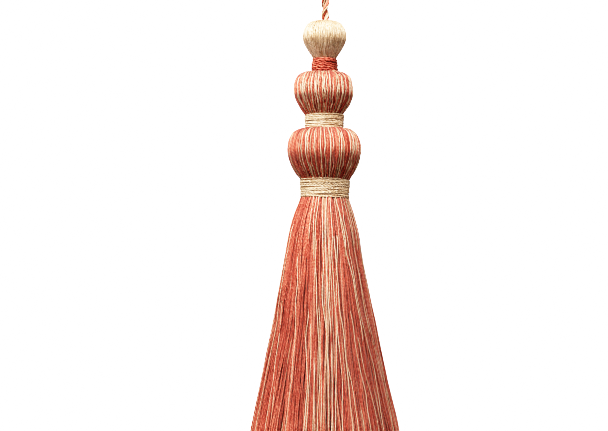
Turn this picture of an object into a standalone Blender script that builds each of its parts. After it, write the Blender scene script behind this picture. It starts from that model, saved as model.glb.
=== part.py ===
"""Hanging key tassel: a twisted cord with its loop, a stack of three yarn covered
balls parted by wound bands, and a long flared skirt of loose yarn.

Metres, +Z up. The origin is the inside top of the cord's loop, where the tassel
hangs from a hook or a knob, and everything else hangs straight down from it.
"""

import math
from collections import namedtuple

import bmesh
import bpy

MM = 0.001

# ---------------------------------------------------------------- driving sizes
CORD_DIAMETER = 4.2 * MM  # the two plies twisted together
PLY_DIAMETER = 2.1 * MM  # one ply, as it runs round the loop
LOOP_HEIGHT = 28.0 * MM  # from the origin down to where the plies join
LOOP_HALF_WIDTH = 8.4 * MM  # centre of the ply, at the widest place
CORD_FREE = 16.0 * MM  # twisted cord between the loop and the head
GAP = 0.3 * MM  # clearance that each piece keeps to the next
HEAD_TOP = -(LOOP_HEIGHT + CORD_FREE)  # z of the top ball's rim

BALL_SIDES = 36
BAND_SIDES = 36
SKIRT_SIDES = 60
SKIRT_TUFTS = 17  # soft lengthwise bunches round the skirt
TUFT_DEPTH = 1.1 * MM

# A ring of a turned shape: how far below the head's top it is, its radius and how
# far its centre has slipped to the right, because the moulds are covered by hand.
Ring = namedtuple("Ring", "drop radius shift")
# A wound band: where it starts and ends below the head's top, the radius of its
# core line at both ends, the slip of its centre and its number of turns.
Band = namedtuple("Band", "top bottom radius_top radius_bottom shift turns")

TOP_BALL = [
    Ring(1.00, 2.50, -0.10),
    Ring(0.35, 3.20, -0.10),
    Ring(0.00, 4.50, -0.10),
    Ring(0.15, 5.90, -0.10),
    Ring(0.75, 7.35, -0.10),
    Ring(1.80, 8.70, -0.10),
    Ring(3.30, 9.80, -0.10),
    Ring(5.20, 10.55, -0.10),
    Ring(7.50, 10.85, -0.10),
    Ring(9.70, 10.65, -0.10),
    Ring(11.60, 10.00, -0.10),
    Ring(13.60, 8.95, -0.08),
    Ring(15.60, 7.75, -0.06),
    Ring(17.70, 6.30, -0.05),
]

NECK_WRAP = Band(18.00, 24.80, 6.15, 6.75, -0.05, 5)

MIDDLE_BALL = [
    Ring(25.10, 7.60, -0.55),
    Ring(25.45, 9.40, -0.65),
    Ring(26.20, 11.05, -0.70),
    Ring(27.40, 12.50, -0.70),
    Ring(29.20, 13.80, -0.70),
    Ring(31.50, 14.60, -0.72),
    Ring(34.20, 14.92, -0.72),
    Ring(37.00, 14.75, -0.60),
    Ring(39.60, 14.10, -0.52),
    Ring(42.00, 12.95, -0.45),
    Ring(44.20, 11.55, -0.55),
    Ring(46.70, 9.85, -0.55),
]

UPPER_BAND = Band(47.00, 53.30, 9.70, 9.50, -0.20, 6)

LOWER_BALL = [
    Ring(53.60, 10.90, -0.30),
    Ring(53.85, 12.60, -0.40),
    Ring(54.60, 14.10, -0.45),
    Ring(55.70, 15.40, -0.45),
    Ring(57.40, 16.70, -0.42),
    Ring(59.80, 17.80, -0.40),
    Ring(62.60, 18.40, -0.40),
    Ring(65.40, 18.52, -0.38),
    Ring(68.20, 18.10, -0.30),
    Ring(71.20, 17.20, -0.22),
    Ring(74.00, 15.90, -0.10),
    Ring(76.70, 14.40, -0.05),
    Ring(79.70, 12.50, 0.05),
]

LOWER_BAND = Band(80.00, 88.40, 12.35, 12.40, 0.02, 8)

SKIRT = [
    Ring(88.70, 11.95, -0.20),
    Ring(92.00, 13.20, -0.25),
    Ring(96.00, 14.70, -0.42),
    Ring(101.00, 16.20, -0.60),
    Ring(107.00, 17.70, -0.60),
    Ring(114.00, 18.90, -0.78),
    Ring(122.00, 20.20, -0.75),
    Ring(132.00, 21.90, -0.40),
    Ring(142.00, 23.55, -0.20),
    Ring(152.00, 25.60, -0.05),
    Ring(164.00, 28.10, -0.15),
    Ring(176.00, 30.80, -0.10),
    Ring(188.00, 33.40, 0.00),
    Ring(200.00, 36.10, 0.25),
    Ring(212.00, 38.40, 0.25),
    Ring(222.00, 40.00, 0.20),
]


# ---------------------------------------------------------------------- helpers
def clear_scene():
    for item in list(bpy.data.objects):
        bpy.data.objects.remove(item, do_unlink=True)


def yarn_material(name, colour, roughness=0.85):
    material = bpy.data.materials.new(name)
    material.use_nodes = True
    shader = material.node_tree.nodes["Principled BSDF"]
    shader.inputs["Base Color"].default_value = (*colour, 1.0)
    shader.inputs["Roughness"].default_value = roughness
    shader.inputs["Metallic"].default_value = 0.0
    return material


def new_object(name, data, material):
    item = bpy.data.objects.new(name, data)
    bpy.context.scene.collection.objects.link(item)
    data.materials.append(material)
    return item


def turned(name, rings, sides, material, radius_at=None):
    """A closed body of stacked rings, from its top ring down to its lowest one.

    radius_at(ring, angle) gives a ring's radius at an angle where it isn't round.
    """
    mesh = bpy.data.meshes.new(name)
    work = bmesh.new()
    loops = []
    for ring in rings:
        loop = []
        for step in range(sides):
            angle = 2 * math.pi * step / sides
            radius = radius_at(ring, angle) if radius_at else ring.radius
            loop.append(
                work.verts.new(
                    (
                        (ring.shift + radius * math.cos(angle)) * MM,
                        radius * math.sin(angle) * MM,
                        HEAD_TOP - ring.drop * MM,
                    )
                )
            )
        loops.append(loop)
    for upper, lower in zip(loops, loops[1:]):
        for step in range(sides):
            after = (step + 1) % sides
            work.faces.new((upper[after], upper[step], lower[step], lower[after]))
    work.faces.new(loops[0])
    work.faces.new(list(reversed(loops[-1])))
    bmesh.ops.recalc_face_normals(work, faces=work.faces)
    work.to_mesh(mesh)
    work.free()
    mesh.shade_smooth()
    mesh.set_sharp_from_angle(angle=math.radians(50))
    return new_object(name, mesh, material)


def wound_rings(band):
    """The outline of a winding: one round swelling for each turn of the yarn."""
    height = (band.bottom - band.top) / band.turns
    swell = 0.42 * height
    rings = []
    for half in range(2 * band.turns):
        along = half / (2 * band.turns)
        core = band.radius_top + (band.radius_bottom - band.radius_top) * along
        bulge = swell if half % 2 else 0.0
        rings.append(
            Ring(band.top + half * height / 2, core - 0.5 * swell + bulge, band.shift)
        )
    rings.append(Ring(band.bottom, band.radius_bottom - 0.5 * swell, band.shift))
    return rings


def tufted(ring, angle):
    """Radius of the skirt: shallow troughs between bunches, none at the tied neck."""
    fall = (ring.drop - SKIRT[0].drop) / (SKIRT[-1].drop - SKIRT[0].drop)
    drift = 0.35 * math.sin(2.1 * fall + 1.7 * math.sin(angle))
    trough = 0.5 - 0.5 * math.cos(SKIRT_TUFTS * (angle + 0.22 * math.sin(3 * angle + 0.8) + drift / SKIRT_TUFTS))
    depth = TUFT_DEPTH / MM * min(1.0, 3.5 * fall) * (0.75 + 0.25 * math.sin(5 * angle + 2.0))
    return ring.radius - depth * trough**2


def tube(name, points, radius, material, resolution=2):
    """A cord's body along a line of points, with both its ends closed."""
    curve = bpy.data.curves.new(name, "CURVE")
    curve.dimensions = "3D"
    curve.bevel_depth = radius
    curve.bevel_resolution = resolution
    curve.use_fill_caps = True
    line = curve.splines.new("POLY")
    line.points.add(len(points) - 1)
    for point, place in zip(line.points, points):
        point.co = (*place, 1.0)
    return new_object(name, curve, material)


def loop_points(count=30):
    """The ply's way round the hanging loop: up on the left, over and down on the right."""
    top = PLY_DIAMETER / 2  # the origin is on the loop's inner side
    foot = -LOOP_HEIGHT + GAP
    beside = PLY_DIAMETER / 2 + 0.35 * MM  # the legs stand side by side at the foot
    points = []
    for step in range(count + 1):
        turn = 2 * math.pi * step / count
        swell = 0.5 - 0.5 * math.cos(turn)
        drop_shape = math.sin(turn) * math.sin(turn / 2) ** 1.25 / 0.791
        leg = beside * math.cos(turn / 2)
        points.append(
            (
                -(LOOP_HALF_WIDTH * drop_shape) - leg * (1 - swell),
                0.0,
                foot + (top - foot) * swell,
            )
        )
    return points


def cord_points(count=6):
    """The twisted cord's centre line, from the head's hollow up to the loop."""
    low = HEAD_TOP - TOP_BALL[0].drop * MM + GAP
    high = -LOOP_HEIGHT
    return [(0.0, 0.0, low + (high - low) * step / count) for step in range(count + 1)]


# ------------------------------------------------------------------------ build
def main():
    clear_scene()
    cream = yarn_material("yarn_cream", (0.80, 0.66, 0.45))
    coral = yarn_material("yarn_coral", (0.66, 0.14, 0.07))
    blend = yarn_material("yarn_coral_and_cream", (0.72, 0.36, 0.22))

    tube("hanging_cord", cord_points(), CORD_DIAMETER / 2, blend)
    tube("cord_loop", loop_points(), PLY_DIAMETER / 2, blend)

    turned("top_ball", TOP_BALL, BALL_SIDES, cream)
    turned("neck_wrap", wound_rings(NECK_WRAP), BAND_SIDES, coral)
    turned("middle_ball", MIDDLE_BALL, BALL_SIDES, blend)
    turned("upper_band", wound_rings(UPPER_BAND), BAND_SIDES, cream)
    turned("lower_ball", LOWER_BALL, BALL_SIDES, coral)
    turned("lower_band", wound_rings(LOWER_BAND), BAND_SIDES, cream)
    turned("skirt", SKIRT, SKIRT_SIDES, coral, tufted)


main()
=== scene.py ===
"""Looks of the hanging key tassel: every yarn of the cord, the covered balls, the
wound bands and the skirt is laid as its own strand, in the space of the solid that
it stands for. Metres, +Z up, the origin at the inside top of the cord's loop."""

import math

import bpy
import numpy as np
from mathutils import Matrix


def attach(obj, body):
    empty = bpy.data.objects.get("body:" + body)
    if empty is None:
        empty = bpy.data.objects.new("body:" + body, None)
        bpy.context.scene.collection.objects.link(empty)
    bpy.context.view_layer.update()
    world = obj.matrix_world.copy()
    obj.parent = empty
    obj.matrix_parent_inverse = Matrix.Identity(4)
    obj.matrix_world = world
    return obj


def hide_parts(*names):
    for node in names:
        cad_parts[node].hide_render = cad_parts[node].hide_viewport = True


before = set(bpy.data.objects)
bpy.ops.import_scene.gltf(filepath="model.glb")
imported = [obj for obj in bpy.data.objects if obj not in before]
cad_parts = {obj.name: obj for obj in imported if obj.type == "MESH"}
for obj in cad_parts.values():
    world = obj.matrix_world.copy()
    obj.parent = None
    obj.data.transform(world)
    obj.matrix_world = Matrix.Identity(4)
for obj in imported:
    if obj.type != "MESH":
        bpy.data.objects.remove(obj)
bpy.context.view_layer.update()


MM = 0.001
TAU = 2 * math.pi
HEAD_TOP = -0.044  # z of the top ball's rim, as in the solids
LOOP_HEIGHT = 0.028
PLY = 0.0021

# --------------------------------------------------------------------- the camera
PX = 0.5 * MM  # one photograph pixel at the tassel
AXIS_PX, HEAD_PX = 324.9, 20.0  # the tassel's axis and the top ball's rim
VIEW_W, VIEW_H = 608, 431
LENS, SENSOR = 100.0, 36.0
PITCH = math.radians(3.0)  # the camera looks up this much


def add_camera():
    aim = (
        (VIEW_W / 2 - AXIS_PX) * PX,
        0.0,
        HEAD_TOP - (VIEW_H / 2 - HEAD_PX) * PX,
    )
    away = VIEW_W * PX * LENS / SENSOR
    data = bpy.data.cameras.new("view")
    data.lens, data.sensor_width, data.sensor_fit = LENS, SENSOR, "HORIZONTAL"
    data.clip_start, data.clip_end = 0.01, 20
    camera = bpy.data.objects.new("view", data)
    camera.location = (
        aim[0],
        aim[1] - away * math.cos(PITCH),
        aim[2] - away * math.sin(PITCH),
    )
    camera.rotation_euler = (math.pi / 2 + PITCH, 0, 0)
    bpy.context.scene.collection.objects.link(camera)
    bpy.context.scene.camera = camera


add_camera()


# ------------------------------------------------------------------ small numerics
def curve_through(xs, ys):
    """A smooth function through (xs, ys), by cubic pieces with averaged slopes."""
    xs, ys = np.asarray(xs, float), np.asarray(ys, float)
    step = np.diff(xs)
    rise = np.diff(ys) / step
    slope = np.empty_like(ys)
    slope[1:-1] = (rise[:-1] * step[1:] + rise[1:] * step[:-1]) / (step[:-1] + step[1:])
    slope[0], slope[-1] = rise[0], rise[-1]

    def at(x):
        x = np.clip(np.asarray(x, float), xs[0], xs[-1])
        i = np.clip(np.searchsorted(xs, x, side="right") - 1, 0, len(step) - 1)
        h = step[i]
        t = (x - xs[i]) / h
        a, b = ys[i], ys[i + 1]
        return (
            (1 + 2 * t) * (1 - t) ** 2 * a
            + t * (1 - t) ** 2 * h * slope[i]
            + t * t * (3 - 2 * t) * b
            + t * t * (t - 1) * h * slope[i + 1]
        )

    return at


def unit(v):
    return v / np.maximum(np.linalg.norm(v, axis=-1, keepdims=True), 1e-12)


def tangents(paths):
    t = np.empty_like(paths)
    t[:, 1:-1] = paths[:, 2:] - paths[:, :-2]
    t[:, 0] = paths[:, 1] - paths[:, 0]
    t[:, -1] = paths[:, -1] - paths[:, -2]
    return unit(t)


def carried_frames(paths, start):
    """Two directions across each path that turn as little as they can along it."""
    t = tangents(paths)
    one = np.empty_like(paths)
    n = unit(start - (start * t[:, 0]).sum(-1, keepdims=True) * t[:, 0])
    for j in range(paths.shape[1]):
        n = unit(n - (n * t[:, j]).sum(-1, keepdims=True) * t[:, j])
        one[:, j] = n
    return one, np.cross(t, one)


def lengths_along(paths):
    run = np.linalg.norm(np.diff(paths, axis=1), axis=-1)
    return np.concatenate([np.zeros((len(paths), 1)), np.cumsum(run, axis=1)], axis=1)


def wander(rng, count, points, waves, power=1.0):
    """Smooth random numbers about 0, one row for each strand, about 1 in size."""
    t = np.linspace(0, 1, points)[None]
    total = np.zeros((count, points))
    for k in range(1, waves + 1):
        size = rng.normal(0, 1, (count, 1)) / k**power
        total += size * np.sin(math.pi * k * t + rng.uniform(0, TAU, (count, 1)))
    norm = math.sqrt(sum(1 / k ** (2 * power) for k in range(1, waves + 1)) / 2)
    return total / norm


def ring_noise(rng, waves, first=1):
    """A smooth random function of an angle round the tassel, about 1 in size."""
    k = np.arange(first, first + waves)
    size = rng.normal(0, 1, waves) / np.sqrt(waves / 2)
    phase = rng.uniform(0, TAU, waves)

    def at(angle):
        angle = np.asarray(angle, float)
        return (size * np.sin(k * angle[..., None] + phase)).sum(-1)

    return at


# ------------------------------------------------------------------ strand meshes
class Bundle:
    """Collects strands and plain surfaces, and joins them into one mesh."""

    def __init__(self):
        self.points, self.quads, self.caps, self.open = [], [], [], []
        self.lay, self.cap_lay, self.atlas, self.cap_atlas = [], [], [], []
        self.tone, self.shade, self.seed = [], [], []
        self.total = 0
        self.strips = []

    def strands(
        self,
        centre,
        across,
        up,
        half_w,
        half_h,
        sides,
        tone,
        shade,
        seed,
        turn=0.0,
        outward=None,
        clear=1.0,
    ):
        """centre, across and up are (strand, ring, 3); half_w and half_h (strand, ring).

        outward is which way the covering faces there, and clear is how freely light
        reaches the strand: 1 at the surface, less between or under its neighbours. Both
        go into the open attribute, which the yarn material paints as shade: darker colour
        where clear is low and on the sides of a strand that face in.
        """
        n, m = centre.shape[:2]
        half_w = np.broadcast_to(half_w, (n, m))
        half_h = np.broadcast_to(half_h, (n, m))
        angle = TAU * np.arange(sides) / sides
        ca, sa = np.cos(angle), np.sin(angle)
        ring = (
            centre[:, :, None]
            + across[:, :, None] * (half_w[..., None] * ca)[..., None]
            + up[:, :, None] * (half_h[..., None] * sa)[..., None]
        )
        self.points.append(ring.reshape(-1, 3))
        base = self.total
        index = base + np.arange(n * m * sides).reshape(n, m, sides)
        self.total += n * m * sides
        a = index[:, :-1]
        b = np.roll(index, -1, axis=2)[:, :-1]
        c = np.roll(index, -1, axis=2)[:, 1:]
        d = index[:, 1:]
        # the ring turns from across to up, so this order faces outwards where
        # across x up points along the strand
        self.quads.append(np.stack([a, b, c, d], -1).reshape(-1, 4))
        along = lengths_along(centre) / MM
        u0 = np.broadcast_to(np.arange(sides) / sides, (n, m - 1, sides))
        u1 = u0 + 1 / sides
        v0 = np.broadcast_to(along[:, :-1, None], (n, m - 1, sides))
        v1 = np.broadcast_to(along[:, 1:, None], (n, m - 1, sides))
        t = turn
        self.lay.append(
            np.stack([u0 + t, v0, u1 + t, v0, u1 + t, v1, u0 + t, v1], -1).reshape(-1, 4, 2)
        )
        self.strips.append((n, m, sides))
        first = index[:, 0, ::-1]
        last = index[:, -1]
        for caps, v in ((first, along[:, 0]), (last, along[:, -1])):
            self.caps.append(caps.reshape(-1, sides))
            uv = np.stack(
                [
                    np.broadcast_to(0.5 + 0.5 * ca, (n, sides)),
                    np.broadcast_to(v[:, None], (n, sides)) + 0.3 * sa,
                ],
                -1,
            )
            self.cap_lay.append(uv)
        clear = np.broadcast_to(clear, (n, m))[:, :, None]
        if outward is None:
            facing = np.ones((n, m, sides))
        else:
            # painted shade: the sides of a strand that face in, between its neighbours, get a lower open and so
            # a darker colour
            facing = 0.5 + 0.5 * (
                (across * outward).sum(-1)[..., None] * ca
                + (up * outward).sum(-1)[..., None] * sa
            )
        self.open.append((clear * facing).reshape(-1))
        for store, value in ((self.tone, tone), (self.shade, shade), (self.seed, seed)):
            value = np.asarray(value, float)
            if value.ndim < 2:
                value = np.broadcast_to(value.reshape(-1, 1), (n, m))
            store.append(np.repeat(value.reshape(-1), sides))

    def mesh(self, name, material, slot_name):
        points = np.concatenate(self.points)
        quads = np.concatenate(self.quads)
        corners = [quads.reshape(-1)]
        counts = [np.full(len(quads), 4)]
        lay = [np.concatenate(self.lay).reshape(-1, 2)]
        # one narrow column of the OFBake map for each strand, side by side
        columns = sum(n for n, _, _ in self.strips)
        atlas, cap_atlas, start = [], [], 0
        for n, m, sides in self.strips:
            col = start + np.arange(n)
            start += n
            left = (col + 0.12) / columns
            width = 0.76 / columns
            u = left[:, None] + width * np.arange(sides + 1)[None] / sides
            v = 0.006 + 0.975 * np.linspace(0, 1, m)
            u0 = np.broadcast_to(u[:, None, :-1], (n, m - 1, sides))
            u1 = np.broadcast_to(u[:, None, 1:], (n, m - 1, sides))
            v0 = np.broadcast_to(v[None, :-1, None], (n, m - 1, sides))
            v1 = np.broadcast_to(v[None, 1:, None], (n, m - 1, sides))
            atlas.append(
                np.stack([u0, v0, u1, v0, u1, v1, u0, v1], -1).reshape(-1, 2)
            )
            around = TAU * np.arange(sides) / sides
            for low in (0.001, 0.986):
                mid = left[:, None] + width / 2
                cap_atlas.append(
                    np.stack(
                        [
                            mid + 0.5 * width * np.cos(around),
                            np.broadcast_to(
                                low + 0.002 + 0.002 * np.sin(around), (n, sides)
                            ),
                        ],
                        -1,
                    ).reshape(-1, 2)
                )
        atlas = [np.concatenate(atlas)] + cap_atlas
        for caps, uv in zip(self.caps, self.cap_lay):
            corners.append(caps.reshape(-1))
            counts.append(np.full(len(caps), caps.shape[1]))
            lay.append(uv.reshape(-1, 2))
        corners, counts = np.concatenate(corners), np.concatenate(counts)
        lay, atlas = np.concatenate(lay), np.concatenate(atlas)
        mesh = bpy.data.meshes.new(name)
        mesh.vertices.add(len(points))
        mesh.vertices.foreach_set("co", points.astype(np.float32).ravel())
        mesh.loops.add(len(corners))
        mesh.loops.foreach_set("vertex_index", corners.astype(np.int32))
        mesh.polygons.add(len(counts))
        starts = np.concatenate([[0], np.cumsum(counts)[:-1]])
        mesh.polygons.foreach_set("loop_start", starts.astype(np.int32))
        mesh.polygons.foreach_set("loop_total", counts.astype(np.int32))
        mesh.update(calc_edges=True)
        smooth = np.ones(len(counts), bool)
        smooth[len(quads) :] = False
        mesh.polygons.foreach_set("use_smooth", smooth)
        for uv_name, data in (("lay", lay), ("OFBake", atlas)):
            layer = mesh.uv_layers.new(name=uv_name, do_init=False)
            layer.uv.foreach_set("vector", data.astype(np.float32).ravel())
        for label, data in (
            ("tone", self.tone),
            ("shade", self.shade),
            ("seed", self.seed),
            ("open", self.open),
        ):
            layer = mesh.attributes.new(label, "FLOAT", "POINT")
            layer.data.foreach_set("value", np.concatenate(data).astype(np.float32))
        mesh.materials.append(material)
        mesh.validate()
        piece = bpy.data.objects.new(name, mesh)
        bpy.context.scene.collection.objects.link(piece)
        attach(piece, "root")
        triangles = int((counts - 2).sum())
        made.append((name, triangles))
        return piece


made = []


# ---------------------------------------------------------------------- materials
CORAL_LIGHT = (0.800, 0.215, 0.130)
CORAL = (0.600, 0.108, 0.061)
CORAL_DEEP = (0.330, 0.040, 0.020)
CREAM_LIGHT = (0.920, 0.750, 0.560)
CREAM = (0.835, 0.615, 0.405)
CREAM_DEEP = (0.550, 0.350, 0.190)


def yarn_material(name, pitch, bump, groove, gloss=0.62, sheen=0.30, streak=0.5, cavity_shade=0.8):
    """Plied yarn: two plies that wind round each other, with fibres along them.

    tone mixes coral to cream, shade makes a strand lighter or deeper (its own dye, and on
    the balls also painted light and shade by tilt), seed sets its fibres apart from its
    neighbours', and open is how freely light reaches its surface: where it is low the colour
    is painted darker, as shade. pitch is in millimetres for one ply's turn.
    """
    material = bpy.data.materials.new(name)
    material.use_nodes = True
    tree = material.node_tree
    nodes, links = tree.nodes, tree.links
    shader = nodes["Principled BSDF"]

    def node(kind, **values):
        n = nodes.new(kind)
        for key, value in values.items():
            setattr(n, key, value)
        return n

    def maths(operation, a, b=None, clamp=False):
        n = node("ShaderNodeMath", operation=operation, use_clamp=clamp)
        for i, value in enumerate((a, b)):
            if value is None:
                continue
            if isinstance(value, (int, float)):
                n.inputs[i].default_value = value
            else:
                links.new(value, n.inputs[i])
        return n.outputs[0]

    def mixed(factor, a, b, blend="MIX"):
        n = node("ShaderNodeMix", data_type="RGBA", blend_type=blend)
        if isinstance(factor, (int, float)):
            n.inputs[0].default_value = factor
        else:
            links.new(factor, n.inputs[0])
        for i, value in ((6, a), (7, b)):
            if isinstance(value, tuple):
                n.inputs[i].default_value = (*value, 1.0)
            else:
                links.new(value, n.inputs[i])
        return n.outputs[2]

    def attribute(label):
        return node("ShaderNodeAttribute", attribute_name=label).outputs["Fac"]

    def noise(x, y, z=None, detail=1.0, roughness=0.5):
        at = node("ShaderNodeCombineXYZ")
        links.new(x, at.inputs[0])
        links.new(y, at.inputs[1])
        if z is not None:
            links.new(z, at.inputs[2])
        n = node("ShaderNodeTexNoise", noise_dimensions="2D" if z is None else "3D")
        n.inputs["Scale"].default_value = 1.0
        n.inputs["Detail"].default_value = detail
        n.inputs["Roughness"].default_value = roughness
        links.new(at.outputs[0], n.inputs["Vector"])
        return maths("SUBTRACT", n.outputs[0], 0.5)

    tone, shade, seed = attribute("tone"), attribute("shade"), attribute("seed")
    uv = node("ShaderNodeUVMap", uv_map="lay")
    parts = node("ShaderNodeSeparateXYZ")
    links.new(uv.outputs[0], parts.inputs[0])
    around, along = parts.outputs[0], parts.outputs[1]

    # where the two plies meet: 0 in the groove, 1 on a ply's crest
    spiral = maths("ADD", maths("MULTIPLY", around, 2.0), maths("MULTIPLY", along, 2.0 / pitch))
    spiral = maths("ADD", spiral, seed)
    crest = maths("ABSOLUTE", maths("SINE", maths("MULTIPLY", spiral, math.pi)))
    crest = maths("POWER", crest, 0.7)

    # fibres lie along the plies and drift a little across them
    fibres = noise(
        maths("ADD", maths("MULTIPLY", around, 5.0), maths("MULTIPLY", along, 1.2)),
        maths("MULTIPLY", along, 1.0),
        maths("MULTIPLY", seed, 37.0),
        detail=2.5,
        roughness=0.62,
    )
    # nubs and thin places, a millimetre or two long
    nubs = noise(maths("MULTIPLY", along, 0.85), maths("MULTIPLY", seed, 53.0), detail=2.0)
    # slow changes of dye along each strand
    slow = noise(maths("MULTIPLY", along, 0.10), maths("MULTIPLY", seed, 91.0))

    deep = maths("ADD", maths("MULTIPLY", shade, 0.5), 0.5)
    deep = maths("ADD", deep, maths("MULTIPLY", slow, 0.9))
    deep = maths("ADD", deep, maths("MULTIPLY", nubs, 3.2 * streak))
    deep = maths("ADD", deep, maths("MULTIPLY", fibres, 2.6 * streak), clamp=True)
    # from the deepest dye over the usual one to the palest
    lower = maths("MULTIPLY", deep, 2.0, clamp=True)
    upper = maths("SUBTRACT", maths("MULTIPLY", deep, 2.0), 1.0, clamp=True)
    coral = mixed(upper, mixed(lower, CORAL_DEEP, CORAL), CORAL_LIGHT)
    cream = mixed(upper, mixed(lower, CREAM_DEEP, CREAM), CREAM_LIGHT)
    colour = mixed(tone, coral, cream)
    # painted shade: the colour is made darker in the grooves between the plies, where light is lost
    groove_shade = maths("MULTIPLY", maths("SUBTRACT", 1.0, crest), groove)
    dark = mixed(tone, (0.20, 0.020, 0.010), (0.40, 0.205, 0.115))
    colour = mixed(groove_shade, colour, dark)
    # painted shade: where open is low the colour is mixed towards the darker tone and then towards black
    reached = maths("MULTIPLY", maths("SUBTRACT", attribute("open"), 0.30), 1.55, clamp=True)
    lost = maths("MULTIPLY", maths("SUBTRACT", 1.0, reached), cavity_shade)
    colour = mixed(lost, colour, mixed(0.65, colour, dark), "MIX")
    colour = mixed(maths("MULTIPLY", lost, 0.40), colour, (0.0, 0.0, 0.0))
    links.new(colour, shader.inputs["Base Color"])

    height = maths("ADD", maths("MULTIPLY", crest, 0.8), maths("MULTIPLY", fibres, 0.6))
    relief = node("ShaderNodeBump")
    relief.inputs["Strength"].default_value = 1.0
    relief.inputs["Distance"].default_value = bump
    links.new(height, relief.inputs["Height"])
    links.new(relief.outputs[0], shader.inputs["Normal"])
    rough = maths("ADD", gloss, maths("MULTIPLY", fibres, 0.3), clamp=True)
    links.new(rough, shader.inputs["Roughness"])
    shader.inputs["Metallic"].default_value = 0.0
    shader.inputs["Specular IOR Level"].default_value = 0.22
    shader.inputs["Sheen Weight"].default_value = sheen
    shader.inputs["Sheen Roughness"].default_value = 0.45
    shader.inputs["Sheen Tint"].default_value = (1.0, 0.93, 0.86, 1.0)
    return material


skirt_yarn = yarn_material("skirt_yarn", 3.2, 0.00010, 0.75, sheen=0.10, streak=0.85, cavity_shade=0.90)
ball_yarn = yarn_material("ball_yarn", 3.4, 0.00010, 0.65, sheen=0.10, streak=0.6, cavity_shade=0.95)
fine_yarn = yarn_material(
    "fine_yarn", 3.2, 0.00006, 0.25, gloss=0.55, sheen=0.12, streak=0.7, cavity_shade=0.75
)
wound_yarn = yarn_material("wound_yarn", 2.2, 0.00006, 0.35, sheen=0.12, streak=0.7, cavity_shade=0.5)
cord_yarn = yarn_material("cord_yarn", 1.8, 0.00006, 0.45, sheen=0.05, streak=0.6, cavity_shade=0.8)

# ------------------------------------------------------------ shapes of the solids
TOP_BALL = [
    (1.00, 2.50, -0.10),
    (0.35, 3.20, -0.10),
    (0.00, 4.50, -0.10),
    (0.15, 5.90, -0.10),
    (0.75, 7.35, -0.10),
    (1.80, 8.70, -0.10),
    (3.30, 9.80, -0.10),
    (5.20, 10.55, -0.10),
    (7.50, 10.85, -0.10),
    (9.70, 10.65, -0.10),
    (11.60, 10.00, -0.10),
    (13.60, 8.95, -0.08),
    (15.60, 7.75, -0.06),
    (17.70, 6.30, -0.05),
]
MIDDLE_BALL = [
    (25.75, 7.60, -0.90),
    (25.95, 9.40, -0.95),
    (26.45, 11.05, -0.95),
    (27.50, 12.60, -0.78),
    (29.20, 13.95, -0.64),
    (31.50, 14.60, -0.72),
    (34.20, 14.92, -0.72),
    (37.00, 14.75, -0.60),
    (39.60, 14.10, -0.52),
    (42.00, 12.95, -0.45),
    (44.20, 11.55, -0.55),
    (46.70, 9.85, -0.55),
]
LOWER_BALL = [
    (54.30, 10.90, -0.30),
    (54.50, 12.60, -0.40),
    (55.00, 14.10, -0.45),
    (55.90, 15.40, -0.45),
    (57.40, 16.70, -0.42),
    (59.80, 17.80, -0.40),
    (62.60, 18.40, -0.40),
    (65.40, 18.52, -0.38),
    (68.20, 18.10, -0.30),
    (71.20, 17.35, -0.22),
    (74.00, 16.20, -0.10),
    (76.70, 14.62, -0.05),
    (79.70, 12.45, 0.05),
]
SKIRT = [
    (88.70, 11.95, -0.20),
    (92.00, 13.20, -0.25),
    (96.00, 14.70, -0.42),
    (101.00, 16.20, -0.60),
    (107.00, 17.70, -0.60),
    (114.00, 18.90, -0.78),
    (122.00, 20.20, -0.75),
    (132.00, 21.90, -0.40),
    (142.00, 23.55, -0.20),
    (152.00, 25.60, -0.05),
    (164.00, 28.10, -0.15),
    (176.00, 30.80, -0.10),
    (188.00, 33.40, 0.00),
    (200.00, 36.10, 0.25),
    (212.00, 38.40, 0.25),
    (222.00, 40.00, 0.20),
]


def profile(rings, before=(), after=(), count=40):
    """Evenly spaced points down a turned outline: drop, radius, shift and normal."""
    table = np.array(list(before) + list(rings) + list(after), float)
    step = np.linalg.norm(np.diff(table[:, :2], axis=0), axis=1)
    at = np.concatenate([[0], np.cumsum(step)])
    drop, radius, shift = (curve_through(at, table[:, k]) for k in range(3))
    fine = np.linspace(0, at[-1], 800)
    run = np.concatenate(
        [[0], np.cumsum(np.hypot(np.diff(drop(fine)), np.diff(radius(fine))))]
    )
    s = np.interp(np.linspace(0, run[-1], count), run, fine)
    d, r, x = drop(s), radius(s), shift(s)
    td, tr = np.gradient(d), np.gradient(r)
    length = np.maximum(np.hypot(td, tr), 1e-9)
    # outwards, with the drop counted downwards
    return d, r, x, td / length, -tr / length  # normal's radial and downward parts


def on_turned(d, r, x, angle):
    """Places at an angle round the axis, 0 towards the viewer and turning to +X."""
    return np.stack(
        [
            (x + r * np.sin(angle)) * MM,
            -r * np.cos(angle) * MM,
            HEAD_TOP - d * MM,
        ],
        -1,
    )


def core_surface(bundle, rings, inset, tone, shade, sides=48, before=(), after=()):
    """The layer of yarn under the outer one, as one plain close surface."""
    d, r, x, nr, nd = profile(rings, before, after, count=22)
    r = np.maximum(r - inset * nr, 0.3)
    d = d - inset * nd * 1.0
    centre = np.stack([x * MM, np.zeros_like(x), HEAD_TOP - d * MM], -1)[None]
    across = np.broadcast_to(np.array([0.0, 1.0, 0.0]), centre.shape)
    up = np.broadcast_to(np.array([1.0, 0.0, 0.0]), centre.shape)
    bundle.strands(
        centre, across, up, r[None] * MM, r[None] * MM, sides, [tone], [shade], [0.3]
    )


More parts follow.
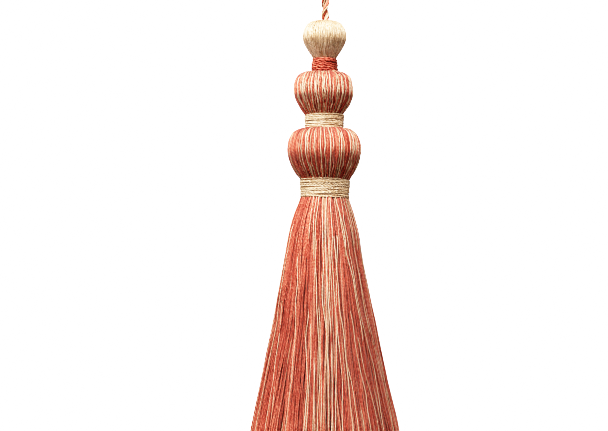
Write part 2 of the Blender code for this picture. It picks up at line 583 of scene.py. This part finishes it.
def laid_ball(
    name,
    node,
    rings,
    laid,
    width,
    thick,
    before=(),
    after=(),
    material=None,
    slot_name="blend_yarn",
    seed=1,
    rings_each=38,
    sides=7,
    drift=0.02,
    stray=0.012,
    crimp=0.10,
    lift=0.25,
    core_tone=0.0,
    shade_spread=0.70,
    cream_width=0.9,
    sink=0.0,
    painted_tilt_light=((-14, 0.0), (-8, 0.5), (4, 0.5), (14, 0.0), (22, 0.0), (50, -0.32), (80, -0.45)),
):
    """A ball covered with strands that run from its top to its bottom.

    laid lists each strand: its angle in degrees round from the viewer, and its tone.
    The last argument is painted light and shade: how much paler or deeper the colour is
    made where the ball faces so many degrees upwards, by default lighter at its fullest
    place and darker towards its top.
    """
    rng = np.random.default_rng(seed)
    angles = np.radians([a for a, _ in laid])
    tone = np.array([t for _, t in laid], float)
    count = len(laid)
    d, r, x, nr, nd = profile(rings, before, after, count=rings_each)
    # neighbours lean together, and each strand strays a little on its own
    lean_top, lean_low = ring_noise(rng, 9, 2), ring_noise(rng, 9, 2)
    t = np.linspace(0, 1, rings_each)[None]
    angle = (
        angles[:, None]
        + drift * lean_top(angles)[:, None] * (1 - t) ** 2
        + drift * lean_low(angles)[:, None] * t**2
        + stray * wander(rng, count, rings_each, 6, 1.0)
        + crimp * wander(rng, count, rings_each, 15, 0.2) * (np.clip(r / 13, 0.3, 1) / np.maximum(r, 5))[None]
    )
    # strands crowd towards the ends: they narrow, thicken and ride over each other
    own_width = width * np.where(tone > 0.5, cream_width, 1.0) * rng.normal(1, 0.07, count)
    room = TAU * r / count
    half_w = 0.5 * np.minimum(
        own_width[:, None], np.maximum(room * 1.22, 0.42 * width)[None]
    )
    half_h = 0.5 * thick * np.clip(own_width[:, None] / (2 * half_w), 1.0, 1.5)
    crowd = np.clip(width / np.maximum(room, 1e-3) - 1, 0, 1)
    height = rng.uniform(-1, 1, (count, 1)) * lift * (0.4 + 0.6 * crowd)[None]
    height = height - sink * (tone[:, None] > 0.5) * (crowd * (1 - 0.8 * t[0]))[None]
    height = height + 0.12 * wander(rng, count, rings_each, 9, 0.5)
    out = -half_h + np.minimum(height, 0.14) + 0.05 * (tone[:, None] > 0.5)
    swell = 1 + 0.08 * wander(rng, count, rings_each, 12, 0.3)
    rr = r[None] + out * nr[None]
    dd = d[None] + out * nd[None]
    centre = on_turned(dd, rr, x[None], angle)
    up = np.stack([nr * np.sin(angle), -nr * np.cos(angle), -nd * np.ones_like(angle)], -1)
    along = tangents(centre)
    across = unit(np.cross(up, along))
    up = np.cross(along, across)
    shade = rng.normal(0, shade_spread, count) * np.where(tone > 0.5, 0.6, 1.0)
    # painted shade: strands that sit lower are darker, and so is the ball where it faces
    # steeply up under the band above and just under its fullest place, as the light falls off there
    tilt = np.degrees(np.arctan2(-nd, nr))
    tilt_shade = np.interp(
        tilt,
        [-60, -28, -22, -17, -12.5, -7, 3, 10, 22, 30, 46, 69, 84],
        [1.0, 0.92, 0.72, 0.50, 0.49, 0.96, 1.0, 1.0, 1.0, 0.86, 0.52, 0.28, 0.05],
    )
    clear = np.clip(1 + (height - 0.1) * 0.8, 0.45, 1) * tilt_shade[None]
    # painted light and shade by tilt, added to each strand's own shade
    shade = shade[:, None] + np.interp(tilt, *zip(*painted_tilt_light))[None]
    bundle = Bundle()
    bundle.strands(
        centre,
        across,
        up,
        half_w * swell * MM,
        half_h * swell * MM,
        sides,
        tone,
        shade,
        rng.uniform(0, 1, count),
        outward=up,
        clear=clear,
    )
    # the layer under the strands is given the deepest dye, as painted shade in the gaps between them
    core_surface(bundle, rings, thick * 0.75, core_tone, -1.0, before=before, after=after)
    piece = bundle.mesh(name, material or ball_yarn, slot_name)
    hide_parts(node)
    return piece


def filled_round(creams, spacing, gaps, seed):
    """Strands all the way round: the cream ones named for the front, cream ones at
    gaps drawn from a list behind, and coral ones laid evenly between them all."""
    rng = np.random.default_rng(seed)
    known = sorted(creams)
    at, end = known[-1][0], known[0][0] + 360
    places = list(known)
    while True:
        at += rng.choice(gaps) * spacing * rng.normal(1, 0.05)
        if at > end - 1.5 * spacing:
            break
        places.append((at, 1.0))
    laid = []
    for (a, tone), (b, _) in zip(places, places[1:] + [(end, 1.0)]):
        between = max(1, round((b - a) / spacing))
        for k in range(between):
            angle = a + (b - a) * k / between + (rng.normal(0, 0.1) * spacing if k else 0)
            laid.append((angle, 0.92 * tone if k == 0 else 0.0))
    return laid


# Where cream strands lie on the front of each ball: degrees round from the viewer,
# and how much of the strand is cream.
MIDDLE_CREAM = [
    (-83, 1), (-65, 1), (-61.8, 1), (-49, 1), (-46, 1), (-43.4, 0.8), (-38.2, 1),
    (-31.4, 1), (-25.4, 1), (-18.6, 0.6), (-15.4, 1), (-10, 1), (-2, 1), (0.6, 1),
    (5.9, 1), (12.2, 1), (17.9, 0.85), (27.2, 1), (30.4, 0.9), (39.2, 1), (42.2, 1),
    (49.2, 1), (62.8, 1), (66.2, 1), (78, 1), (82, 0.8),
]
LOWER_CREAM = [
    (-82, 1), (-71, 1), (-44, 0.7), (-38.6, 1), (-29.7, 1), (-26.8, 1), (-22.6, 0.8),
    (-16, 1), (-6.4, 1), (1.1, 0.85), (9.7, 1), (14.1, 0.55), (23.6, 1), (27, 1),
    (31.6, 0.9), (44.6, 1), (49.6, 0.6), (52.8, 1), (59.5, 1), (67, 0.9), (77, 1),
]

top_rng = np.random.default_rng(5)
laid_ball(
    "top_ball_yarns",
    "top_ball",
    TOP_BALL,
    [(360 * (k + top_rng.uniform(-0.25, 0.25)) / 160, top_rng.uniform(0.93, 1.0)) for k in range(160)],
    width=0.56,
    thick=0.50,
    before=[(3.4, 2.1, -0.10), (2.2, 2.2, -0.10)],
    after=[(19.2, 5.5, -0.05)],
    material=fine_yarn,
    slot_name="cream_yarn",
    seed=11,
    rings_each=36,
    sides=6,
    drift=0.05,
    stray=0.035,
    crimp=0.10,
    lift=0.16,
    core_tone=1.0,
    shade_spread=0.35,
    cream_width=1.0,
    # painted light and shade by tilt: lighter on the underside, darker just under the fullest place and much
    # darker towards the top
    painted_tilt_light=((-44, 0.6), (-32, 0.45), (-21, -0.8), (-9, -0.65), (2, -0.15), (20, -0.35), (50, -1.1), (80, -1.6)),
)
laid_ball(
    "middle_ball_yarns",
    "middle_ball",
    MIDDLE_BALL,
    filled_round(MIDDLE_CREAM, 3.0, (1, 2, 2, 2, 3, 3), 6),
    width=0.86,
    thick=0.78,
    before=[(24.9, 5.7, -0.3), (25.5, 6.3, -0.45)],
    after=[(48.2, 8.8, -0.4)],
    seed=12,
    rings_each=42,
    drift=0.020,
    stray=0.009,
    crimp=0.12,
    cream_width=0.80,
    sink=0.25,
)
laid_ball(
    "lower_ball_yarns",
    "lower_ball",
    LOWER_BALL,
    filled_round(LOWER_CREAM, 2.62, (2, 3, 3, 4, 4, 5), 8),
    width=0.88,
    thick=0.78,
    before=[(53.0, 8.5, -0.2), (53.9, 9.2, -0.25)],
    after=[(81.5, 11.4, 0.05)],
    slot_name="coral_yarn",
    seed=13,
    rings_each=44,
    sides=6,
    drift=0.016,
    stray=0.008,
    crimp=0.12,
    cream_width=0.72,
    sink=0.30,
)


# -------------------------------------------------------------------- wound bands
def plied(line, radius, plies, ply_radius, pitch, rng, phase=0.0):
    """The plies of a yarn that follows a line: each winds round it once a pitch."""
    paths = line[None]
    one, two = carried_frames(paths, np.array([[0.0, 0.0, 1.0]]))
    run = lengths_along(paths)[0]
    found = []
    for k in range(plies):
        turn = TAU * (run / pitch + k / plies) + phase
        found.append(
            line + radius * (np.cos(turn)[:, None] * one[0] + np.sin(turn)[:, None] * two[0])
        )
    return np.stack(found)


def wound_band(
    name,
    node,
    top,
    bottom,
    radius_top,
    radius_bottom,
    shift,
    turns,
    yarn,
    tone,
    seed,
    slot_name,
    per_turn,
    unevenness=0.16,
    slant_top=0.0,
    slant_low=0.0,
    right_side_shade=0.0,
):
    """Yarn wound round the neck in close turns, laid by hand and so a little uneven.

    The slants are how much further down the band's edges are on the right, and the last
    argument is painted shade: how much darker the colour is made there."""
    rng = np.random.default_rng(seed)
    total = per_turn * turns + 1
    t = np.linspace(0, 1, total)
    angle = math.pi + TAU * turns * t
    height = (bottom - top) - yarn
    drop = top + yarn / 2 + height * t
    # a turn bends with its neighbours, and has a way of its own
    shared = ring_noise(rng, 3, 1)

    def along_turns(waves, power):
        """Smooth random numbers along the winding, a few waves in each turn."""
        total_of = np.zeros(total)
        for k in range(1, int(turns * waves)):
            total_of += (
                rng.normal(0, 1) / k**power * np.sin(math.pi * k * t + rng.uniform(0, TAU))
            )
        return total_of / np.std(total_of)

    edge = np.minimum(1.0, np.minimum(t, 1 - t) * turns)
    drop = drop + unevenness * along_turns(7, 0.35) * (0.3 + 0.7 * edge)
    drop = drop + 0.12 * shared(angle) * edge
    drop = drop + (slant_top + (slant_low - slant_top) * t) * np.sin(angle)
    ripple = np.clip(along_turns(9, 0.3), -1.6, 1.6)
    radius = radius_top + (radius_bottom - radius_top) * t - 0.12 + 0.12 * ripple
    # both ends of the winding dive under it
    dive = np.clip(1 - np.minimum(t, 1 - t) * turns / 0.12, 0, 1)
    radius = radius - 0.8 * dive**2
    line = on_turned(drop, radius, shift, angle)
    paths = plied(line, 0.21 * yarn * MM, 2, 0.27 * yarn * MM, 4.2 * yarn * MM, rng)
    one, two = carried_frames(paths, np.tile([[0.0, 0.0, 1.0]], (2, 1)))
    bundle = Bundle()
    outward = np.stack([np.sin(angle), -np.cos(angle), np.zeros(total)], -1)
    shade = -0.32 - 0.10 * (tone < 0.5) + 0.55 * np.clip(wander(rng, 2, total, int(turns * 5), 0.3), -2, 2)
    bundle.strands(
        paths,
        one,
        two,
        0.325 * yarn * MM,
        0.325 * yarn * MM,
        6,
        [tone, tone],
        shade,
        rng.uniform(0, 1, 2),
        outward=np.tile(outward, (2, 1, 1)),
        # painted shade: turns that sit lower are darker, and the right side is darker still
        clear=(
            np.clip(1 + 0.12 * (ripple - 1), 0.5, 1)
            * (1 - right_side_shade * np.exp(-(((angle % TAU - 0.95) / 0.5) ** 2)))
        )[None],
    )
    rings = [
        (top + 0.1, radius_top - 0.42 * yarn, shift),
        ((top + bottom) / 2, (radius_top + radius_bottom) / 2 - 0.42 * yarn, shift),
        (bottom - 0.1, radius_bottom - 0.42 * yarn, shift),
    ]
    # the layer under the turns is given the deepest dye, as painted shade in the gaps between them
    core_surface(bundle, rings, 0.0, tone, -1.0, sides=40)
    piece = bundle.mesh(name, wound_yarn, slot_name)
    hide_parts(node)
    return piece


wound_band(
    "neck_wrap_yarn", "neck_wrap", 18.45, 26.0, 5.95, 6.40, -0.05, 6, 1.30, 0.0, 27,
    "coral_yarn", 110, unevenness=0.15, slant_low=0.35, right_side_shade=0.60,
)
wound_band(
    "upper_band_yarn", "upper_band", 46.95, 54.6, 9.68, 9.40, -0.30, 10, 0.84, 1.0, 22,
    "cream_yarn", 150, slant_top=-0.2, slant_low=0.4,
)
wound_band(
    "lower_band_yarn", "lower_band", 79.2, 89.5, 12.35, 12.10, -0.10, 13, 0.84, 1.0, 23,
    "cream_yarn", 190, unevenness=0.2,
)


# -------------------------------------------------------------------------- skirt
# The cream strands that show on the front of the skirt: each is (drop, degrees round
# from the viewer) at a few heights. One that starts lower down comes out from between
# its neighbours there, and one that ends early sinks in again.
SKIRT_CREAM = [
    [(91, -27), (102, -25), (109, -25)],
    [(91, -19), (102, -18), (118, -15)],
    [(91, -13), (102, -14), (120, -12), (140, -9), (156, -7), (178, -5), (202, -6)],
    [(145, -6), (156, -5), (178, -3), (202, -3)],
    [(91, -4), (102, -2), (120, -1), (140, -2), (156, 1), (178, 3), (202, 2)],
    [(91, 4), (102, 2), (120, 3), (140, 5), (156, 6), (178, 6), (202, 4)],
    [(91, 12), (102, 13), (120, 12), (140, 12), (156, 12), (178, 10), (202, 7)],
    [(110, 17), (120, 18), (140, 15), (156, 14), (178, 15), (202, 13)],
    [(110, 21), (130, 18), (140, 18), (156, 19), (178, 21), (202, 21)],
    [(170, 21), (178, 23), (202, 25)],
    [(91, 26), (96, 30), (102, 33), (110, 34), (116, 34)],
    [(91, 40), (102, 38), (120, 42), (140, 43), (156, 46), (174, 52), (202, 50)],
    [(145, 31), (156, 32), (169, 33), (178, 35), (202, 36)],
    [(91, 48), (102, 51), (120, 55), (140, 57), (156, 59), (171, 66), (202, 72)],
    [(91, 61), (102, 63), (115, 64)],
    [(91, 57), (98, 57), (108, 55)],
    [(91, 66), (98, 70), (108, 74), (124, 78)],
    [(91, 72), (112, 76), (150, 74), (178, 70), (202, 66)],
    [(91, 26), (95, 28.6), (108, 31), (117, 35), (131, 41), (142, 41.5), (160, 43)],
    [(160, 38), (174, 38.5), (192, 43), (205, 44)],
    [(125, 57), (132, 55), (139, 54.6), (154, 57), (168, 62), (178, 63), (202, 65)],
    [(118, -42), (130, -37), (140, -36), (156, -33), (178, -31), (202, -32)],
    [(146, -18), (156, -19), (178, -16), (202, -17)],
    [(152, -16), (178, -14), (202, -14)],
    [(172, -9), (202, -9)],
    [(136, -62), (156, -57.5), (178, -53.5), (202, -53)],
    [(102, -70), (110, -69), (130, -70), (156, -66), (178, -67), (202, -67)],
    [(91, -88), (102, -86), (121, -84), (150, -80), (202, -78)],
]
SKIRT_OUTER = 1280
SKIRT_INNER = 1350
SKIRT_PIECES = 12
SKIRT_RINGS = 34
SKIRT_INNER_RINGS = 9
LATERAL, RADIAL = 0.63, 0.50  # millimetres from one strand to the next


def skirt_outline():
    table = np.array([(82.6, 11.1, -0.2), (86.6, 11.4, -0.2)] + SKIRT, float)
    # its fullest strands stand out a little at mid height, and less near the hem
    fuller = 0.30 * np.exp(-(((table[:, 0] - 139) / 8) ** 2))
    table[:, 1] += fuller - 0.2 * np.clip((table[:, 0] - 165) / 30, 0, 1)
    table[:, 2] -= fuller + 0.1 * np.clip((table[:, 0] - 165) / 30, 0, 1)
    lower = np.clip((table[:, 0] - 125) / 20, 0, 1)
    table[:, 1] += 0.25 * lower
    table[:, 2] -= 0.22 * lower
    return curve_through(table[:, 0], table[:, 1]), curve_through(table[:, 0], table[:, 2])


def make_skirt():
    rng = np.random.default_rng(31)
    end = SKIRT[-1][0]
    start = 87.0
    outer, slip = skirt_outline()
    n, m = SKIRT_OUTER, SKIRT_RINGS
    t = np.linspace(0, 1, m) ** 0.94
    drop = start + (end - start) * t
    fall = np.minimum(1, 6 * t)[None]
    round_layer = TAU * (outer(drop) - 0.4) / LATERAL  # strands in one layer here

    # the front's cream strands first, at the surface, then the others deeper and deeper
    front = len(SKIRT_CREAM)
    order = np.concatenate([np.full(front, 0.3), np.arange(n - front) + rng.uniform(0, 1, n - front)])
    angle0 = (np.arange(n) * TAU * 0.61803399 + rng.normal(0, 0.012, n)) % TAU
    angle0[:front] = [math.radians(way[0][1]) for way in SKIRT_CREAM]
    tone = np.zeros(n)
    deg = (np.degrees(angle0) + 180) % 360 - 180
    behind = np.abs(deg) > 80
    cluster = ring_noise(rng, 16, 5)(angle0)
    chance = np.clip(0.11 + 0.06 * cluster, 0.02, 0.3)
    pale = behind & (rng.random(n) < chance)
    tone[pale] = rng.uniform(0.60, 0.90, n)[pale]
    tone[~behind & (order > 260) & (rng.random(n) < 0.035)] = 0.9
    faint = ~behind & (rng.random(n) < np.where((order < 420) & (np.abs(deg - 6) < 20), 0.28, np.where(deg < -14, 0.012, 0.045)))
    tone[faint] = rng.uniform(0.25, 0.58, n)[faint]
    # the named creams right of 30 degrees are mixed a little towards coral as painted shade on that side; those
    # left of -18 degrees are fainter creams
    tone[:front] = rng.uniform(0.70, 0.86, front) * np.where(deg[:front] > 30, 0.88, np.where(deg[:front] < -18, 0.84, 1.0))

    groups = ring_noise(rng, 22, 5), ring_noise(rng, 22, 5), ring_noise(rng, 12, 4)
    swing = (
        0.020 * groups[0](angle0)[:, None] * np.sin(math.pi * t)[None]
        + 0.022 * groups[1](angle0)[:, None] * (t**1.5)[None]
        + 0.014 * groups[2](angle0)[:, None] * np.sin(TAU * t)[None]
    )
    own = 0.020 * wander(rng, n, m, 4, 1.0) * fall
    # strands bunch into locks, with thin dark gaps between them
    locks = 70
    middle = TAU * (np.arange(locks) + rng.uniform(-0.3, 0.3, locks)) / locks
    which = np.abs((angle0[:, None] - middle[None] + math.pi) % TAU - math.pi).argmin(1)
    gap = (middle[which] - angle0 + math.pi) % TAU - math.pi
    pull = ((1 - np.exp(-3 * t)) * (1 - 0.75 * t**3))[None] * rng.uniform(0.0, 0.17, locks)[which][:, None]
    angle = angle0[:, None] + swing + own + pull * gap[:, None]
    depth = RADIAL * order[:, None] / round_layer[None]
    lock_edge = np.abs(gap / (TAU / locks / 2))[:, None]
    depth = depth + 0.29 * np.clip(lock_edge, 0, 1.4) ** 2 * fall
    depth = depth + 0.20 * wander(rng, n, m, 6, 0.5) * fall
    for i, way in enumerate(SKIRT_CREAM):
        drops = np.array([d for d, _ in way], float)
        degrees = np.array([a for _, a in way], float)
        lead = curve_through(
            np.concatenate([[start - 6], drops, [max(end + 4, drops[-1] + 6)]]),
            np.radians(np.concatenate([[degrees[0]], degrees, [degrees[-1]]])),
        )
        angle[i] = lead(drop) + 0.006 * wander(rng, 1, m, 9, 0.5)[0]
        hidden = np.zeros(m)
        if drops[0] > 95:
            hidden = np.maximum(hidden, np.clip((drops[0] + 3 - drop) / 9, 0, 1))
        if drops[-1] < 200:
            hidden = np.maximum(hidden, np.clip((drop - drops[-1] + 2) / 10, 0, 1))
        depth[i] = -0.09 + 2.2 * hidden**1.5 + 0.07 * wander(rng, 1, m, 8, 0.6)[0]
    depth = np.maximum(depth, -0.06 + 0.06 * rng.random((n, 1)) - 0.08 * (tone[:, None] > 0.5))
    # painted shade: deeper strands are darker, and the colour is darker at mid-height and lighter just below the
    # tie and towards the hem, as the light falls there
    drop_shade = np.interp(drop, [88, 100, 116, 132, 150, 182, 202, 218], [0.92, 1, 1, 0.88, 0.74, 0.72, 0.84, 0.92])
    clear = np.exp(-np.maximum(depth - 0.15, 0) / 1.35) * drop_shade[None]
    # painted shade on the right side of the skirt, round 52 degrees from the viewer
    clear = clear * (1 - 0.36 * np.exp(-(((deg - 52) / 27) ** 2)))[:, None]

    thick = np.where(tone > 0.5, 0.54, 0.67) * rng.normal(1.0, 0.08, n)
    thick[:front] *= np.where(deg[:front] > 30, 0.85, 1.0)
    thick = thick[:, None] * (1 + 0.07 * wander(rng, n, m, 12, 0.3))
    radius = np.maximum(outer(drop)[None] - 0.5 * thick - depth, 0.2)
    # the crimp that plying leaves in each strand
    crimp = 0.14 * wander(rng, n, m, 17, 0.1) * fall
    angle = angle + crimp / np.maximum(radius, 6.0)
    trim = end + rng.normal(0, 0.6, n) - 0.5 + 0.5 * ring_noise(rng, 5, 2)(angle0)
    down = start + (trim[:, None] - start) * t[None]
    line = on_turned(down, radius, slip(drop)[None], angle)
    one, two = carried_frames(line, np.tile([[1.0, 0.0, 0.0]], (n, 1)))
    outward = np.stack([np.sin(angle), -np.cos(angle), np.full_like(angle, 0.2)], -1)
    shade = rng.normal(0.0, 0.80, n) + 0.15 * ring_noise(rng, 30, 6)(angle0)
    shade[:front] = np.abs(shade[:front]) * 0.45 - 0.05
    shade[behind & (tone > 0.5)] *= 0.5
    # pressed together under the tie, they look more alike than further down
    shade = shade[:, None] * np.interp(drop, [88, 130, 165], [0.60, 0.70, 1.0])[None]
    seed = rng.uniform(0, 1, n)

    # the strands further in, which only show at the hem
    n2, m2 = SKIRT_INNER, SKIRT_INNER_RINGS
    t2 = np.linspace(0, 1, m2)
    drop2 = 96 + (end - 96) * t2
    share = np.sqrt(np.where(rng.random(n2) < 0.5, rng.uniform(0.74, 1, n2), rng.uniform(0, 1, n2)))
    angle2 = rng.uniform(0, TAU, n2)
    room = outer(drop2) - 0.6 - RADIAL * n / (TAU * (outer(drop2) - 0.4) / LATERAL)
    radius2 = np.maximum(room[None] * share[:, None] + 0.4 * wander(rng, n2, m2, 3, 0.5), 0.1)
    bend = angle2[:, None] + 0.05 * wander(rng, n2, m2, 3, 0.8)
    trim2 = end + rng.normal(0, 0.7, n2) - 0.6 - 1.0 * (1 - share)
    down2 = 96 + (trim2[:, None] - 96) * t2[None]
    line2 = on_turned(down2, radius2, slip(drop2)[None], bend)
    one2, two2 = carried_frames(line2, np.tile([[1.0, 0.0, 0.0]], (n2, 1)))
    tone2 = (rng.random(n2) < 0.16).astype(float)
    shade2 = rng.normal(0.0, 0.5, n2)
    seed2 = rng.uniform(0, 1, n2)

    sector = (((angle0 % TAU) / TAU) * SKIRT_PIECES).astype(int) % SKIRT_PIECES
    sector2 = ((angle2 / TAU) * SKIRT_PIECES).astype(int) % SKIRT_PIECES
    for k in range(SKIRT_PIECES):
        bundle = Bundle()
        mine = np.flatnonzero(sector == k)
        bundle.strands(
            line[mine],
            one[mine],
            two[mine],
            0.5 * thick[mine] * MM,
            0.5 * thick[mine] * MM,
            5,
            tone[mine],
            shade[mine],
            seed[mine],
            outward=unit(outward[mine]),
            clear=clear[mine],
        )
        mine = np.flatnonzero(sector2 == k)
        bundle.strands(
            line2[mine],
            one2[mine],
            two2[mine],
            0.40 * MM,
            0.40 * MM,
            5,
            tone2[mine],
            shade2[mine],
            seed2[mine],
            # painted shade: the inner strands are darker, most of all higher up, and lighter towards the hem
            clear=0.50 + 0.50 * t2[None] ** 4,
        )
        piece = bundle.mesh(f"skirt_yarns_{k + 1:02d}", skirt_yarn, "coral_yarn")
        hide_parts("skirt")


make_skirt()


# --------------------------------------------------------------------------- cord
def loop_route():
    """The route of the solids: up the twisted cord, then round the loop's one ply."""
    low = HEAD_TOP - 1.0 * MM + 0.3 * MM
    high = -LOOP_HEIGHT
    top, foot = PLY / 2, -LOOP_HEIGHT + 0.3 * MM
    beside = PLY / 2 + 0.35 * MM
    turn = TAU * np.linspace(0, 1, 61)
    swell = 0.5 - 0.5 * np.cos(turn)
    drop_shape = np.sin(turn) * np.sin(turn / 2) ** 1.25 / 0.791
    leg = beside * np.cos(turn / 2)
    x = -(0.0084 * drop_shape) - leg * (1 - swell)
    z = foot + (top - foot) * swell
    loop = np.stack([x, np.zeros_like(x), z], -1)
    stem = np.linspace(low, high, 15)
    stem = np.stack([np.zeros_like(stem), np.zeros_like(stem), stem], -1)
    return stem, loop


def resampled(points, step):
    run = np.concatenate([[0], np.cumsum(np.linalg.norm(np.diff(points, axis=0), axis=1))])
    count = int(run[-1] / step) + 1
    s = np.linspace(0, run[-1], count)
    return np.stack([curve_through(run, points[:, k])(s) for k in range(3)], -1)


def make_cord():
    """Two legs of mixed strands wind round each other, and part into the loop."""
    rng = np.random.default_rng(41)
    stem, loop = loop_route()
    pitch = 13.0 * MM
    low = HEAD_TOP - 3.6 * MM
    high = -LOOP_HEIGHT
    # one leg from inside the ball up to the crossing, as half of a double helix
    z = np.arange(low, high - 0.2 * MM, 0.35 * MM)
    phase = TAU * (high - z) / pitch
    r = 0.94 * MM
    left = np.stack([-r * np.cos(phase), r * np.sin(phase), z], -1)
    right = np.stack([r * np.cos(phase), -r * np.sin(phase), z], -1)
    left[:, 0] += 0.3 * MM
    right[:, 0] += 0.3 * MM
    line = np.concatenate([left, loop[2:-2], right[::-1]])
    line = resampled(line, 0.35 * MM)
    # soften where the helix hands over to the loop
    for _ in range(6):
        line[1:-1] = (line[:-2] + 2 * line[1:-1] + line[2:]) / 4
    line = resampled(line, 0.32 * MM)
    paths = line[None]
    one, two = carried_frames(paths, np.array([[0.0, 1.0, 0.0]]))
    run = lengths_along(paths)[0]
    strands, tones = [], []
    tone_of = [0.0, 1.0, 0.35, 0.0, 1.0]
    for k, tone in enumerate(tone_of):
        turn = TAU * (run / (15.0 * MM) + k / len(tone_of))
        at = line + 0.62 * MM * (
            np.cos(turn)[:, None] * one[0] + np.sin(turn)[:, None] * two[0]
        )
        strands.append(at)
        tones.append(tone)
    strands.append(line.copy())
    tones.append(0.0)
    paths = np.stack(strands)
    a, b = carried_frames(paths, np.tile([[0.0, 1.0, 0.0]], (len(strands), 1)))
    bundle = Bundle()
    bundle.strands(
        paths, a, b, 0.48 * MM, 0.48 * MM, 7, tones,
        rng.normal(-0.2, 0.3, len(strands)), rng.uniform(0, 1, len(strands)),
        # painted shade: the strands' sides facing into the cord are darker, and all of them a little darker
        outward=unit(paths - line[None] + 1e-9), clear=0.90,
    )
    piece = bundle.mesh("cord_strands", cord_yarn, "blend_yarn")
    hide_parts("hanging_cord", "cord_loop")
    # the line that the cord follows: up the twisted stretch, over to the
    # loop's left leg, round it, and down to where the legs cross again
    way = np.concatenate([stem[:-2], loop[3:]])
    way = resampled(way, 1.0 * MM)
    return piece


make_cord()


# ---------------------------------------------------------------- floor and lights
def add_floor():
    """A pale floor well below the tassel, that melts into the white round it."""
    data = bpy.data.meshes.new("floor")
    count, reach, z = 96, 1.6, HEAD_TOP - 0.30
    rim = [
        (reach * math.cos(TAU * k / count), reach * math.sin(TAU * k / count), 0)
        for k in range(count)
    ]
    data.from_pydata(rim, [], [list(range(count))])
    material = bpy.data.materials.new("pale_floor")
    material.use_nodes = True
    tree = material.node_tree
    nodes, links = tree.nodes, tree.links
    shader = nodes["Principled BSDF"]
    shader.inputs["Base Color"].default_value = (0.86, 0.86, 0.86, 1)
    shader.inputs["Roughness"].default_value = 0.8
    place = nodes.new("ShaderNodeTexCoord")
    far = nodes.new("ShaderNodeVectorMath")
    far.operation = "LENGTH"
    fade = nodes.new("ShaderNodeMapRange")
    fade.interpolation_type = "SMOOTHSTEP"
    fade.inputs["From Min"].default_value = 0.10
    fade.inputs["From Max"].default_value = 0.46
    glow = nodes.new("ShaderNodeEmission")
    glow.inputs[0].default_value = (1, 1, 1, 1)
    glow.inputs[1].default_value = 4.0
    mix = nodes.new("ShaderNodeMixShader")
    links.new(place.outputs["Object"], far.inputs[0])
    links.new(far.outputs["Value"], fade.inputs["Value"])
    links.new(fade.outputs[0], mix.inputs[0])
    links.new(shader.outputs[0], mix.inputs[1])
    links.new(glow.outputs[0], mix.inputs[2])
    links.new(mix.outputs[0], nodes["Material Output"].inputs["Surface"])
    data.materials.append(material)
    floor = bpy.data.objects.new("floor", data)
    floor.location = (0, 0, z)
    bpy.context.scene.collection.objects.link(floor)
    # the tassel hangs far from anything that would throw light back up at it
    floor.visible_diffuse = False
    floor.visible_glossy = False


def area_light(name, place, aim, size, power, colour=(1, 1, 1)):
    data = bpy.data.lights.new(name, "AREA")
    data.shape = "RECTANGLE"
    data.size, data.size_y = size
    data.energy = power
    data.color = colour
    lamp = bpy.data.objects.new(name, data)
    lamp.location = place
    way = np.array(aim) - np.array(place)
    lamp.rotation_euler = (
        math.acos(-way[2] / np.linalg.norm(way)),
        0,
        math.atan2(-way[0], way[1]),
    )
    bpy.context.scene.collection.objects.link(lamp)
    return lamp


def add_light():
    area_light("overhead", (-0.22, -0.43, 0.60), (-0.22, -0.42, -0.15), (0.95, 0.56), 57.0, (1.0, 0.99, 0.97))
    area_light("front", (-1.0, -1.3, 0.15), (0, 0, -0.15), (1.0, 1.0), 4.0, (1.0, 0.95, 0.88))
    behind = area_light("behind", (-0.10, 1.05, 0.00), (0, 0, -0.12), (0.9, 0.4), 30.0, (1.0, 0.98, 0.95))
    behind.visible_glossy = False  # it shows the back's dye, and glints nowhere
    beside = area_light("beside", (1.1, 0.35, 0.0), (0, 0, -0.12), (0.5, 0.5), 7.0, (1.0, 0.98, 0.95))
    beside.visible_glossy = False
    world = bpy.data.worlds.new("studio")
    bpy.context.scene.world = world
    world.use_nodes = True
    nodes, links = world.node_tree.nodes, world.node_tree.links
    nodes.clear()
    out = nodes.new("ShaderNodeOutputWorld")
    mix = nodes.new("ShaderNodeMixShader")
    path = nodes.new("ShaderNodeLightPath")
    soft = nodes.new("ShaderNodeBackground")
    soft.inputs[0].default_value = (1.0, 0.79, 0.66, 1)
    soft.inputs[1].default_value = 0.25
    seen = nodes.new("ShaderNodeBackground")
    seen.inputs[0].default_value = (1, 1, 1, 1)
    seen.inputs[1].default_value = 4.0
    links.new(path.outputs["Is Camera Ray"], mix.inputs[0])
    links.new(soft.outputs[0], mix.inputs[1])
    links.new(seen.outputs[0], mix.inputs[2])
    links.new(mix.outputs[0], out.inputs["Surface"])


def film_curve(settings, knee=1.7, toe=1.45, white=3.0):
    """A bright print's tones: a soft roll off to white, and shadows a little deeper."""
    settings.use_curve_mapping = True
    mapping = settings.curve_mapping
    mapping.white_level = (white, white, white)
    mapping.extend = "HORIZONTAL"
    line = mapping.curves[3]

    def tone(x):
        return (1 - math.exp(-knee * white * x)) ** toe

    for x in (0.008, 0.02, 0.04, 0.07, 0.11, 0.16, 0.22, 0.30, 0.40, 0.52, 0.66, 0.82):
        line.points.new(x, tone(x) / tone(1))
    mapping.update()


add_floor()
add_light()
settings = bpy.context.scene.view_settings
settings.view_transform = "Standard"
settings.look = "None"
settings.exposure = 0.0
settings.gamma = 1.0
film_curve(settings)
bpy.context.scene.cycles.filter_width = 1.0

print("TRIANGLES", sum(t for _, t in made), made)
